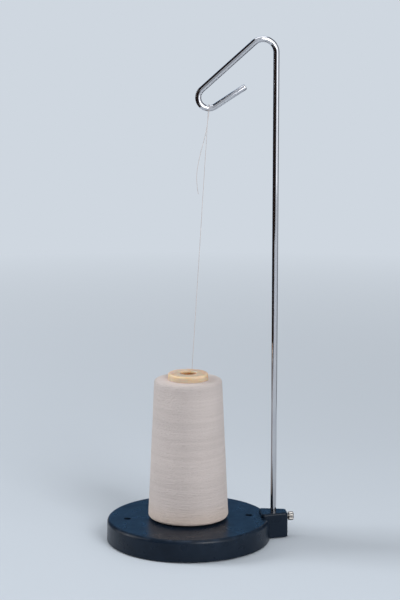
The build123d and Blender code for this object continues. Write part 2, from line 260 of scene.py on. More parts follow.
@dataclass(frozen=True)
class MouldedPlastic:
    """Moulded plastic: fine spark-eroded grain, uneven gloss, faint cloudiness."""

    name: str
    colour: Colour
    cloudy: Colour
    roughness: float = 0.4
    gloss_swing: float = 0.07
    grain_per_metre: float = 3200.0
    grain_depth: float = 0.02 * MM
    shine: float = 0.5
    clouds_per_metre: float = 45.0
    handling_finer: float = 2.6
    sheer: float = 0.0
    sheer_depth: Colour = (2.4 * MM, 1.3 * MM, 0.7 * MM)

    def start(self) -> tuple[Graph, Socket]:
        """Material with everything but its colour linked, and that colour."""
        graph = Graph(self.name)
        clouds = graph.noise(self.clouds_per_metre, 3.0)
        colour = graph.blend(graph.spread(clouds, 0.0, 1.0, 0.35, 0.65), self.colour, self.cloudy)
        low, high = self.roughness - self.gloss_swing, self.roughness + self.gloss_swing
        handling = graph.noise(self.handling_finer * self.clouds_per_metre, 5.0)
        handled = graph.spread(handling, low, high, 0.3, 0.7)
        relief = graph.bump(graph.noise(self.grain_per_metre, 1.0), self.grain_depth)
        graph.set(roughness=handled, normal=relief, specular_ior_level=self.shine)
        if self.sheer:
            graph.set(subsurface_weight=self.sheer, subsurface_radius=self.sheer_depth, subsurface_scale=1.0)
        return graph, colour

    def material(self) -> bpy.types.Material:
        """The finished material."""
        graph, colour = self.start()
        graph.set(base_color=colour)
        return graph.material


@dataclass(frozen=True)
class BasePlastic(MouldedPlastic):
    """The base's plastic, with a painted highlight along its rounded top edge and a painted reflection of
    the cone in fine rings round the cone's place, both paler and broken into patches.
    """

    # Paler tone of the painted highlight on the top edge and of the painted reflection round the cone.
    painted_highlight: Colour = tone(46, 60, 78)
    edge_radius: float = 54.6 * MM
    edge_width: float = 1.5 * MM
    cone_radius: float = 30.0 * MM
    cone_reflection_start_share: float = 0.8
    cone_reflection_end_share: float = 1.25
    cone_reflection_rings_per_metre: float = 1500.0
    patches_per_metre: float = 160.0

    def material(self) -> bpy.types.Material:
        """The finished material."""
        graph, colour = self.start()
        radius = graph.from_axis()
        # Painted highlight: a paler band along the rounded top edge, broken into patches.
        off_edge = graph.math("ABSOLUTE", graph.math("SUBTRACT", radius, self.edge_radius))
        edge = graph.spread(off_edge, 1.0, 0.0, 0.0, self.edge_width)
        patchy = graph.spread(graph.noise(self.patches_per_metre, 4.0), 0.0, 0.5, 0.42, 0.7)
        colour = graph.blend(graph.math("MULTIPLY", edge, patchy), colour, self.painted_highlight)
        # Painted reflection of the cone: paler fine rings round the cone's place, broken into patches.
        reflection_start = self.cone_reflection_start_share * self.cone_radius
        reflection_end = self.cone_reflection_end_share * self.cone_radius
        inside = graph.spread(radius, 0.16, 0.0, reflection_start, reflection_end)
        rings = graph.math("SINE", graph.math("MULTIPLY", radius, FULL_TURN * self.cone_reflection_rings_per_metre))
        cone_reflection = graph.math("MULTIPLY", graph.spread(rings, 0.0, 1.0, 0.2, 1.0), inside)
        colour = graph.blend(graph.math("MULTIPLY", cone_reflection, patchy), colour, self.painted_highlight)
        graph.set(base_color=colour)
        return graph.material


@dataclass(frozen=True)
class MetalFinish:
    """Bare or plated metal, with tool marks that run round or along the piece."""

    name: str
    colour: Colour
    dulled: Colour
    roughness: float = 0.2
    gloss_swing: float = 0.05
    marks_per_metre: tuple[float, float, float] = (400.0, 400.0, 400.0)
    mark_depth: float = 0.004 * MM
    clouds_per_metre: float = 70.0

    def material(self) -> bpy.types.Material:
        """The finished material."""
        graph = Graph(self.name)
        clouds = graph.spread(graph.noise(self.clouds_per_metre, 4.0), 0.0, 1.0, 0.35, 0.7)
        low, high = self.roughness - self.gloss_swing, self.roughness + self.gloss_swing
        relief = graph.bump(graph.noise(self.marks_per_metre, 2.0), self.mark_depth)
        graph.set(
            base_color=graph.blend(clouds, self.colour, self.dulled),
            metallic=1.0,
            roughness=graph.spread(clouds, low, high),
            normal=relief,
        )
        return graph.material


@dataclass(frozen=True)
class FootRubber:
    """Matt cellular rubber with fine open pores."""

    name: str = "foot_cell_rubber"
    colour: Colour = tone(38, 39, 42)
    dusty: Colour = tone(58, 59, 62)
    pores_per_metre: float = 1400.0
    pore_depth: float = 0.12 * MM
    dust_patches_per_metre: float = 60.0

    def material(self) -> bpy.types.Material:
        """The finished material."""
        graph = Graph(self.name)
        pores = graph.noise(self.pores_per_metre, 3.0)
        dust = graph.spread(graph.noise(self.dust_patches_per_metre, 4.0), 0.0, 0.6, 0.4, 0.75)
        graph.set(
            base_color=graph.blend(dust, self.colour, self.dusty),
            roughness=graph.spread(pores, 0.82, 0.96),
            normal=graph.bump(pores, self.pore_depth),
        )
        return graph.material


@dataclass(frozen=True)
class ThreadFinish:
    """Off-white spun polyester thread, soft, a little fuzzy and banded as the layers were wound; with a turn
    pitch, painted shade darkens the grooves between its crossed turns.
    """

    name: str
    colour: Colour = tone(192, 183, 180)
    # Darker tone for the random bands, and for the painted shade in the grooves between turns.
    band_tone_and_groove_shade: Colour = tone(184, 175, 172)
    warm: Colour = tone(190, 175, 164)
    warm_below: float = 24.0 * MM
    warm_fade: float = 6.0 * MM
    bands_per_metre: tuple[float, float, float] = (9.0, 9.0, 420.0)
    fibres_per_metre: float = 9000.0
    fibre_depth: float = 0.03 * MM
    roughness: float = 0.72
    sheen: float = 0.25
    sheen_roughness: float = 0.45
    turn_pitch: float = 0.0
    turn_starts: int = 14
    turn_depth: float = 0.12 * MM

    def crossed_turns(self, graph: Graph) -> Socket:
        """Relief of two crossing families of fine turns round the Z axis.

        Args:
            graph: the material that it is for.

        Returns:
            The relief, from 0 to 1.
        """
        x, y, z = graph.axes()
        lead = graph.math("MULTIPLY", graph.math("ARCTAN2", y, x), float(self.turn_starts))
        climb = graph.math("MULTIPLY", z, FULL_TURN / self.turn_pitch)
        families = [graph.math("SINE", graph.math(way, climb, lead)) for way in ("ADD", "SUBTRACT")]
        return graph.spread(graph.math("MAXIMUM", *families), 0.0, 1.0, -1.0, 1.0)

    def material(self) -> bpy.types.Material:
        """The finished material."""
        graph = Graph(self.name)
        bands = graph.spread(graph.noise(self.bands_per_metre, 3.0), 0.0, 1.0, 0.34, 0.66)
        colour = graph.blend(bands, self.colour, self.band_tone_and_groove_shade)
        _, _, height = graph.axes()
        fade_start, fade_end = self.warm_below - self.warm_fade, self.warm_below + self.warm_fade
        near_foot = graph.spread(height, 0.75, 0.0, fade_start, fade_end)
        colour = graph.blend(near_foot, colour, self.warm)
        fibres = graph.noise(self.fibres_per_metre, 1.0)
        relief = None
        if self.turn_pitch:
            turns = self.crossed_turns(graph)
            # Painted shade: the grooves between the crossed turns are darkened towards the darker tone.
            colour = graph.blend(graph.spread(turns, 0.5, 0.0, 0.0, 0.6), colour, self.band_tone_and_groove_shade)
            relief = graph.bump(turns, self.turn_depth)
        relief = graph.bump(fibres, self.fibre_depth, relief)
        graph.set(
            base_color=colour,
            roughness=self.roughness,
            normal=relief,
            sheen_weight=self.sheen,
            sheen_roughness=self.sheen_roughness,
        )
        return graph.material


def piece(name: str, shape: bmesh.types.BMesh, crease_deg: float = 35.0) -> bpy.types.Object:
    """Writes a bmesh to a new object at the origin, shaded smooth but for its sharp edges.

    Args:
        name: the piece's name.
        shape: its mesh, in place, which is freed.
        crease_deg: edges that turn more than this stay sharp.

    Returns:
        The new object.
    """
    mesh = bpy.data.meshes.new(name)
    shape.to_mesh(mesh)
    shape.free()
    return shown(name, mesh, crease_deg)


def shown(name: str, mesh: bpy.types.Mesh, crease_deg: float = 35.0) -> bpy.types.Object:
    """Puts a mesh into the scene as an object at the origin.

    Args:
        name: the piece's name.
        mesh: its mesh, in place.
        crease_deg: edges that turn more than this stay sharp.

    Returns:
        The new object.
    """
    mesh.name = name
    mesh.shade_smooth()
    mesh.set_sharp_from_angle(angle=math.radians(crease_deg))
    made = bpy.data.objects.new(name, mesh)
    bpy.context.scene.collection.objects.link(made)
    return made


def paint(made: bpy.types.Object, material: bpy.types.Material) -> None:
    """Gives an object one material for all its faces."""
    made.data.materials.clear()
    made.data.materials.append(material)


def dress(made: bpy.types.Object, body: Body, slot: str, finish: bpy.types.Material, *nodes: str) -> None:
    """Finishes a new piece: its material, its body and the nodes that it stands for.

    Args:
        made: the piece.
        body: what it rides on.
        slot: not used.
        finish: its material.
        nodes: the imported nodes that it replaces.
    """
    paint(made, finish)
    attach(made, body.value)
    if nodes:
        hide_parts(*nodes)
    LOG.info("piece %s: %d faces on %s", made.name, len(made.data.polygons), body.value)


def keep_node(frame: dict, node: str, finish: bpy.types.Material) -> None:
    """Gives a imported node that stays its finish.

    Args:
        frame: what the frame's load gave.
        node: the node's name.
        finish: its material.
    """
    for holder in frame["nodes"][node].material_slots:
        holder.material = finish
    LOG.info("node %s kept, finish %s", node, finish.name)


def spun(outline: Sequence[tuple[float, float]], steps: int) -> bmesh.types.BMesh:
    """Solid of revolution round Z.

    Args:
        outline: closed outline as (radius, height) corners.
        steps: how many faces go round.

    Returns:
        The solid, with its normals outwards.
    """
    shape = bmesh.new()
    corners = [shape.verts.new((radius, 0.0, height)) for radius, height in outline]
    sides = [shape.edges.new(pair) for pair in zip(corners, corners[1:] + corners[:1])]
    bmesh.ops.spin(
        shape,
        geom=corners + sides,
        cent=(0, 0, 0),
        axis=(0, 0, 1),
        angle=FULL_TURN,
        steps=steps,
        use_merge=True,
    )
    bmesh.ops.remove_doubles(shape, verts=shape.verts, dist=WELD)
    bmesh.ops.dissolve_degenerate(shape, edges=shape.edges, dist=WELD)
    bmesh.ops.recalc_face_normals(shape, faces=shape.faces)
    return shape


def level_rings(shape: bmesh.types.BMesh, radius: float, height: float) -> list[bmesh.types.BMEdge]:
    """Edges of the ring that a spun shape has at one radius and height."""

    def on_ring(vert: bmesh.types.BMVert) -> bool:
        """Whether a vertex lies on that ring."""
        near = 0.01 * MM
        return abs(vert.co.xy.length - radius) < near and abs(vert.co.z - height) < near

    return [edge for edge in shape.edges if all(on_ring(vert) for vert in edge.verts)]


def round_edges(
    shape: bmesh.types.BMesh, edges: Sequence[bmesh.types.BMEdge], offset: float, segments: int
) -> None:
    """Rounds edges over.

    Args:
        shape: the mesh that they belong to.
        edges: what is rounded.
        offset: the round's size.
        segments: how many faces it gets.
    """
    bmesh.ops.bevel(
        shape,
        geom=list(edges),
        offset=offset,
        offset_type="OFFSET",
        segments=segments,
        profile=0.5,
        affect="EDGES",
        material=-1,
    )


def drawn_threads(name: str, lines: Sequence[Sequence[Vector]], radius: float, finer: int) -> bpy.types.Mesh:
    """Closed round tubes along lines, in one mesh.

    Args:
        name: the mesh's name.
        lines: the points of each tube's middle.
        radius: the tubes' radius.
        finer: 0 gives four sides, and each one more adds two.

    Returns:
        The mesh.
    """
    curve = bpy.data.curves.new(name, "CURVE")
    curve.dimensions = "3D"
    for line in lines:
        spline = curve.splines.new("POLY")
        spline.points.add(len(line) - 1)
        spline.points.foreach_set("co", [number for point in line for number in (*point, 1.0)])
    curve.bevel_depth = radius
    curve.bevel_resolution = finer
    curve.use_fill_caps = True
    holder = bpy.data.objects.new(name, curve)
    mesh = bpy.data.meshes.new_from_object(holder)
    bpy.data.objects.remove(holder)
    bpy.data.curves.remove(curve)
    return mesh


@dataclass
class WeightedBase:
    """The round base with its lug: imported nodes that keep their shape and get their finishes."""

    plastic: BasePlastic = BasePlastic(
        "base_blue_grey",
        tone(13, 23, 35),
        tone(17, 28, 41),
        roughness=0.31,
        grain_depth=0.003 * MM,
        shine=0.16,
    )
    cover: MouldedPlastic = MouldedPlastic(
        "cover_dark_grey", tone(40, 44, 50), tone(46, 50, 57), roughness=0.55, grain_depth=0.03 * MM
    )
    ballast: MetalFinish = MetalFinish(
        "ballast_rolled_steel",
        tone(150, 150, 152),
        tone(112, 108, 104),
        roughness=0.42,
        gloss_swing=0.1,
        marks_per_metre=(30.0, 1800.0, 30.0),
        mark_depth=0.02 * MM,
    )
    zinc: MetalFinish = MetalFinish(
        "zinc_plate",
        tone(186, 188, 190),
        tone(160, 162, 158),
        roughness=0.3,
        marks_per_metre=(900.0, 900.0, 900.0),
    )
    turned_steel: MetalFinish = MetalFinish(
        "pin_turned_steel",
        tone(190, 190, 193),
        tone(165, 165, 168),
        roughness=0.22,
        marks_per_metre=(30.0, 30.0, 5200.0),
        mark_depth=0.008 * MM,
    )
    brass: MetalFinish = MetalFinish(
        "insert_turned_brass",
        tone(208, 172, 98),
        tone(176, 138, 74),
        roughness=0.28,
        marks_per_metre=(5200.0, 60.0, 60.0),
        mark_depth=0.01 * MM,
    )

    def build(self, frame: dict) -> None:
        """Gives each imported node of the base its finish."""
        keep_node(frame, "base_shell", self.plastic.material())
        keep_node(frame, "bottom_cover", self.cover.material())
        keep_node(frame, "foot_pad", FootRubber().material())
        keep_node(frame, "ballast_plate", self.ballast.material())
        keep_node(frame, "spool_pin", self.turned_steel.material())
        keep_node(frame, "thread_insert", self.brass.material())
        plate = self.zinc.material()
        keep_node(frame, "cover_screws", plate)
        keep_node(frame, "pin_washer", plate)
        keep_node(frame, "pin_nut", plate)


class WireBender:
    """Draws a round wire through straight runs and bends in the XZ plane, as a bending jig does."""

    def __init__(self, radius: float, start: Vector, sides: int) -> None:
        """Starts an upright wire.

        Args:
            radius: the wire's radius.
            start: the middle of its lower end.
            sides: how many faces go round it.
        """
        self.shape = bmesh.new()
        bmesh.ops.create_circle(self.shape, cap_ends=False, segments=sides, radius=radius)
        bmesh.ops.translate(self.shape, verts=self.shape.verts, vec=start)
        self.heading = Vector((0.0, 0.0, 1.0))
        self.place = start.copy()
        self.ring = list(self.shape.edges)
        self.ends = [list(self.ring)]

    def ring_verts(self) -> list[bmesh.types.BMVert]:
        """Vertices of the wire's open end."""
        return list({vert for edge in self.ring for vert in edge.verts})

    def run(self, length: float) -> "WireBender":
        """Adds a straight run."""
        grown = bmesh.ops.extrude_edge_only(self.shape, edges=self.ring)["geom"]
        self.ring = [item for item in grown if isinstance(item, bmesh.types.BMEdge) and item.is_boundary]
        bmesh.ops.translate(self.shape, verts=self.ring_verts(), vec=self.heading * length)
        self.place += self.heading * length
        return self

    def bend(self, radius: float, degrees: float, steps: int) -> "WireBender":
        """Adds a bend to the left of the heading, seen from the front.

        Args:
            radius: the bend's radius along the wire's middle.
            degrees: how far it turns.
            steps: how many straight pieces stand for it.

        Returns:
            The bender, for the next call.
        """
        left = Vector((-self.heading.z, 0.0, self.heading.x))
        middle = self.place + left * radius
        turned = Matrix.Rotation(math.radians(degrees), 3, Vector((0.0, -1.0, 0.0)))
        grown = bmesh.ops.spin(
            self.shape,
            geom=self.ring_verts() + self.ring,
            cent=middle,
            axis=(0.0, -1.0, 0.0),
            angle=math.radians(degrees),
            steps=steps,
        )["geom_last"]
        self.ring = [item for item in grown if isinstance(item, bmesh.types.BMEdge)]
        self.place = middle + turned @ (self.place - middle)
        self.heading = turned @ self.heading
        return self

    def close(self, end_round: float, segments: int) -> bmesh.types.BMesh:
        """Caps both ends and rounds them over.

        Args:
            end_round: the size of the round.
            segments: how many faces it gets.

        Returns:
            The finished wire.
        """
        self.ends.append(list(self.ring))
        for loop in self.ends:
            bmesh.ops.contextual_create(self.shape, geom=loop)
        bmesh.ops.recalc_face_normals(self.shape, faces=self.shape.faces)
        round_edges(self.shape, [edge for loop in self.ends for edge in loop], end_round, segments)
        return self.shape


@dataclass
class GuideRod:
    """The bent chromed rod whose upper end is a long open loop."""

    wire_radius: float = 2.0 * MM
    upright: float = 329.3 * MM
    top_bend: float = 9.0 * MM
    top_bend_deg: float = 131.4
    upper_leg: float = 46.3 * MM
    loop_bend: float = 7.2 * MM
    loop_bend_deg: float = 171.2
    lower_leg: float = 24.3 * MM
    end_round: float = 0.8 * MM
    sides: int = 48
    top_bend_steps: int = 36
    loop_bend_steps: int = 44
    end_steps: int = 5
    chrome: MetalFinish = MetalFinish(
        "rod_chrome_plate",
        tone(205, 204, 206),
        tone(196, 195, 199),
        roughness=0.09,
        gloss_swing=0.03,
        marks_per_metre=(260.0, 260.0, 18.0),
        mark_depth=0.0005 * MM,
    )

    def build(self) -> None:
        """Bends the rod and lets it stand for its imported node."""
        low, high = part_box("guide_rod")
        start = Vector((high.x - self.wire_radius, (low.y + high.y) / 2, low.z))
        wire = WireBender(self.wire_radius, start, self.sides)
        wire.run(self.upright).bend(self.top_bend, self.top_bend_deg, self.top_bend_steps)
        wire.run(self.upper_leg).bend(self.loop_bend, self.loop_bend_deg, self.loop_bend_steps)
        wire.run(self.lower_leg)
        rod = piece("bent_rod", wire.close(self.end_round, self.end_steps))
        dress(rod, Body.ROD, "rod_chrome", self.chrome.material(), "guide_rod")


@dataclass
class ClampScrew:
    """The small bright thumb screw: knurled and slotted head, neck and threaded shank."""

    head_radius: float = 3.0 * MM
    head_thickness: float = 3.6 * MM
    head_chamfer: float = 0.4 * MM
    teeth: int = 20
    tooth_depths: tuple[float, ...] = (0.28 * MM, 0.13 * MM, 0.0, 0.0, 0.0, 0.13 * MM)
    slot_width: float = 0.8 * MM
    slot_depth: float = 1.0 * MM
    neck_radius: float = 1.9 * MM
    neck_length: float = 0.45 * MM
    shank_radius: float = 1.45 * MM
    core_radius: float = 1.17 * MM
    pitch: float = 0.5 * MM
    ridge_share: float = 0.84
    ridge_sides: int = 24
    shank_sides: int = 48
    crease_deg: float = 28.0
    sink: float = 0.05 * MM
    nickel: MetalFinish = MetalFinish(
        "screw_bright_nickel",
        tone(150, 147, 144),
        tone(128, 125, 122),
        roughness=0.34,
        marks_per_metre=(3000.0, 200.0, 200.0),
        mark_depth=0.006 * MM,
    )

    def head(self, bottom: float) -> bmesh.types.BMesh:
        """Knurled disc with chamfered rims, upright on a level.

        Args:
            bottom: the level of its lower face.

        Returns:
            The closed disc.
        """
        shape = bmesh.new()
        ring = bmesh.ops.create_circle(
            shape, cap_ends=False, segments=self.teeth * len(self.tooth_depths), radius=self.head_radius
        )["verts"]
        for number, vert in enumerate(ring):
            vert.co *= 1 - self.tooth_depths[number % len(self.tooth_depths)] / self.head_radius
        bmesh.ops.translate(shape, verts=ring, vec=(0.0, 0.0, bottom + self.head_chamfer))
        narrow = 1 - self.head_chamfer / self.head_radius
        edges = list(shape.edges)
        self.stack(shape, edges, -self.head_chamfer, narrow)
        top = self.stack(shape, edges, self.head_thickness - 2 * self.head_chamfer, 1.0)
        self.stack(shape, top, self.head_chamfer, narrow)
        bmesh.ops.holes_fill(shape, edges=shape.edges, sides=0)
        bmesh.ops.recalc_face_normals(shape, faces=shape.faces)
        return shape

    @staticmethod
    def stack(
        shape: bmesh.types.BMesh, ring: Sequence[bmesh.types.BMEdge], rise: float, scale: float
    ) -> list[bmesh.types.BMEdge]:
        """Extrudes a ring along Z and scales its new end.

        Args:
            shape: the mesh that it belongs to.
            ring: its edges.
            rise: how far it goes.
            scale: the new ring's share of the old one's width.

        Returns:
            The new ring's edges.
        """
        old = set(shape.edges)
        grown = bmesh.ops.extrude_edge_only(shape, edges=list(ring))["geom"]
        verts = [item for item in grown if isinstance(item, bmesh.types.BMVert)]
        bmesh.ops.scale(shape, verts=verts, vec=(scale, scale, 1.0))
        bmesh.ops.translate(shape, verts=verts, vec=(0.0, 0.0, rise))
        new = set(verts)
        return [edge for edge in shape.edges if edge not in old and all(vert in new for vert in edge.verts)]

    def helix(self, low: float, high: float) -> bmesh.types.BMesh:
        """Ridge of the screw's thread between two levels, closed at both ends."""
        shape = bmesh.new()
        half = self.pitch * self.ridge_share / 2
        root = self.core_radius - self.sink
        outline = ((root, -half), (self.shank_radius, 0.0), (root, half))
        corners = [shape.verts.new((radius, 0.0, low + half + rise)) for radius, rise in outline]
        sides = [shape.edges.new(pair) for pair in zip(corners, corners[1:] + corners[:1])]
        turns = (high - low - 2 * half) / self.pitch
        steps = round(turns * self.ridge_sides)
        last = bmesh.ops.spin(
            shape,
            geom=corners + sides,
            cent=(0, 0, 0),
            axis=(0, 0, 1),
            dvec=(0, 0, self.pitch / self.ridge_sides),
            angle=FULL_TURN * steps / self.ridge_sides,
            steps=steps,
        )["geom_last"]
        far_sides = [item for item in last if isinstance(item, bmesh.types.BMEdge)]
        bmesh.ops.contextual_create(shape, geom=sides)
        bmesh.ops.contextual_create(shape, geom=far_sides)
        bmesh.ops.recalc_face_normals(shape, faces=shape.faces)
        return shape

    def slotted(self, head: bpy.types.Object, top: float) -> bpy.types.Mesh:
        """Cuts the driver slot across a head.

        Args:
            head: the head, upright round Z, which is removed.
            top: the level of its outer face.

        Returns:
            The head's mesh with the slot.
        """
        cutter_shape = bmesh.new()
        bmesh.ops.create_cube(cutter_shape, size=1.0)
        size = (3 * self.head_radius, self.slot_width, 2 * self.slot_depth)
        bmesh.ops.scale(cutter_shape, verts=cutter_shape.verts, vec=size)
        bmesh.ops.translate(cutter_shape, verts=cutter_shape.verts, vec=(0.0, 0.0, top))
        cutter = piece("slot_cutter", cutter_shape)
        cut = head.modifiers.new("slot", "BOOLEAN")
        cut.operation = "DIFFERENCE"
        cut.solver = "EXACT"
        cut.object = cutter
        seen = head.evaluated_get(bpy.context.evaluated_depsgraph_get())
        mesh = bpy.data.meshes.new_from_object(seen)
        for made in (head, cutter):
            spare = made.data
            bpy.data.objects.remove(made)
            bpy.data.meshes.remove(spare)
        return mesh

    def build(self) -> None:
        """Builds the screw upright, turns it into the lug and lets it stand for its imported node."""
        low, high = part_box("clamp_screw")
        length = high.x - low.x
        shank = length - self.head_thickness
        shape = spun(
            (
                (0.0, 0.0),
                (self.core_radius - self.pitch / 2, 0.0),
                (self.core_radius, self.pitch / 2),
                (self.core_radius, shank - self.neck_length),
                (self.neck_radius, shank - self.neck_length),
                (self.neck_radius, shank + self.sink),
                (0.0, shank + self.sink),
            ),
            self.shank_sides,
        )
        head_mesh = self.slotted(piece("screw_head_blank", self.head(shank)), length)
        ridge = self.helix(self.pitch / 2, shank - self.neck_length)
        ridge_mesh = bpy.data.meshes.new("screw_ridge")
        ridge.to_mesh(ridge_mesh)
        ridge.free()
        for part in (head_mesh, ridge_mesh):
            shape.from_mesh(part)
            bpy.data.meshes.remove(part)
        turn = Matrix.Rotation(math.radians(90), 4, "Y")
        bmesh.ops.transform(shape, matrix=turn, verts=shape.verts)
        bmesh.ops.translate(shape, verts=shape.verts, vec=(low.x, 0.0, (low.z + high.z) / 2))
        screw = piece("thumb_screw", shape, self.crease_deg)
        dress(screw, Body.SCREW, "screw_nickel", self.nickel.material(), "clamp_screw")


@dataclass
class ThreadCone:
    """The cone of thread: its tube and holder keep their shape, and its winding gets its turns."""

    foot_radius: float = 27.6 * MM
    shoulder_radius: float = 23.1 * MM
    foot_round: float = 2.4 * MM
    shoulder_round: float = 2.2 * MM
    tube_foot_radius: float = 20.9 * MM
    tube_shoulder_radius: float = 13.86 * MM
    thread: float = 0.4 * MM
    traverses: int = 40
    turns_in_traverse: float = 7.175
    points_in_turn: int = 56
    over_edge_deg: float = 72.0
    layer_depth: float = 0.05 * MM
    core_depth: float = 0.2 * MM
    end_scatter_share: float = 0.014
    seed: int = 11
    sides: int = 160
    round_steps: int = 10
    body_turn_pitch: float = 0.42 * MM
    tube: MouldedPlastic = MouldedPlastic(
        "tube_beige",
        tone(238, 183, 156),
        tone(231, 175, 145),
        roughness=0.46,
        grain_depth=0.02 * MM,
        clouds_per_metre=110.0,
        sheer=0.8,
        sheer_depth=(16.0 * MM, 7.0 * MM, 4.0 * MM),
    )
    holder: MouldedPlastic = MouldedPlastic(
        "holder_dark_grey", tone(44, 48, 54), tone(50, 54, 61), roughness=0.5
    )

    def __post_init__(self) -> None:
        """Reads the winding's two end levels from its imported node."""
        self.low, self.high = (corner.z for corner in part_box("thread_winding"))

    def outline_point(self, share: float, inset: float) -> tuple[float, float]:
        """A place on the winding's outer surface, from under its foot to over its shoulder.

        Args:
            share: 0 at the lower end and 1 at the upper.
            inset: how deep under the surface it lies.

        Returns:
            Its radius and height.
        """
        slope = (self.foot_radius - self.shoulder_radius) / (self.high - self.low)
        lean = math.atan(slope)
        foot_height, shoulder_height = self.low + self.foot_round, self.high - self.shoulder_round
        foot_middle = self.foot_radius - slope * self.foot_round - self.foot_round
        shoulder_middle = self.shoulder_radius + slope * self.shoulder_round - self.shoulder_round
        sweep = math.radians(self.over_edge_deg)
        lengths = (
            self.foot_round * (sweep + lean),
            shoulder_height - foot_height,
            self.shoulder_round * (sweep - lean),
        )
        along = share * sum(lengths)
        if along < lengths[0]:
            angle = along / self.foot_round - sweep
            reach = self.foot_round - inset
            return foot_middle + reach * math.cos(angle), foot_height + reach * math.sin(angle)
        along -= lengths[0]
        if along < lengths[1]:
            part = along / lengths[1]
            foot = foot_middle + (self.foot_round - inset) * math.cos(lean)
            shoulder = shoulder_middle + (self.shoulder_round - inset) * math.cos(lean)
            lift = -inset * math.sin(lean)
            return foot + (shoulder - foot) * part, foot_height + lift + along
        angle = lean + (along - lengths[1]) / self.shoulder_round
        reach = self.shoulder_round - inset
        return shoulder_middle + reach * math.cos(angle), shoulder_height + reach * math.sin(angle)

    def traverse(self, number: int, angle: float, draw: random.Random) -> Iterator[Vector]:
        """Points of one traverse of the outer turns.

        Args:
            number: which traverse it is, the last on top.
            angle: where round the cone it starts.
            draw: source of the small differences between traverses.

        Yields:
            The middle of the thread, point by point.
        """
        way = Side.UP if number % 2 == 0 else Side.DOWN
        low = draw.uniform(0.0, self.end_scatter_share)
        high = 1.0 - draw.uniform(0.0, self.end_scatter_share)
        start, end = (low, high) if way is Side.UP else (high, low)
        depth = self.thread / 2 + self.layer_depth * (1 - number / self.traverses)
        steps = round(self.turns_in_traverse * self.points_in_turn)
        for step in range(steps):
            part = step / steps
            radius, height = self.outline_point(start + (end - start) * part, depth)
            here = angle + FULL_TURN * self.turns_in_traverse * part
            yield Vector((radius * math.cos(here), radius * math.sin(here), height))

    def build(self, frame: dict) -> None:
        """Builds the winding and gives the tube and holder their finishes."""
        inset = self.core_depth
        foot = (self.foot_radius - inset, self.low + inset)
        shoulder = (self.shoulder_radius - inset, self.high - inset / 2)
        core = spun(
            ((self.tube_foot_radius, foot[1]), foot, shoulder, (self.tube_shoulder_radius, shoulder[1])),
            self.sides,
        )
        for corner, size in ((foot, self.foot_round), (shoulder, self.shoulder_round)):
            round_edges(core, level_rings(core, *corner), size - inset, self.round_steps)
        dress(
            piece("wound_thread", core),
            Body.CONE,
            "sewing_thread",
            ThreadFinish("thread_body", turn_pitch=self.body_turn_pitch).material(),
            "thread_winding",
        )
        draw = random.Random(self.seed)
        line: list[Vector] = []
        for number in range(self.traverses):
            angle = FULL_TURN * self.turns_in_traverse * number
            line.extend(self.traverse(number, angle, draw))
        turns = drawn_threads("outer_turns", [line], self.thread / 2, 0)
        dress(
            shown("outer_turns", turns, ALL_SMOOTH_DEG),
            Body.CONE,
            "sewing_thread",
            ThreadFinish("thread_turns").material(),
        )
        keep_node(frame, "cone_tube", self.tube.material())
        keep_node(frame, "cone_holder", self.holder.material())


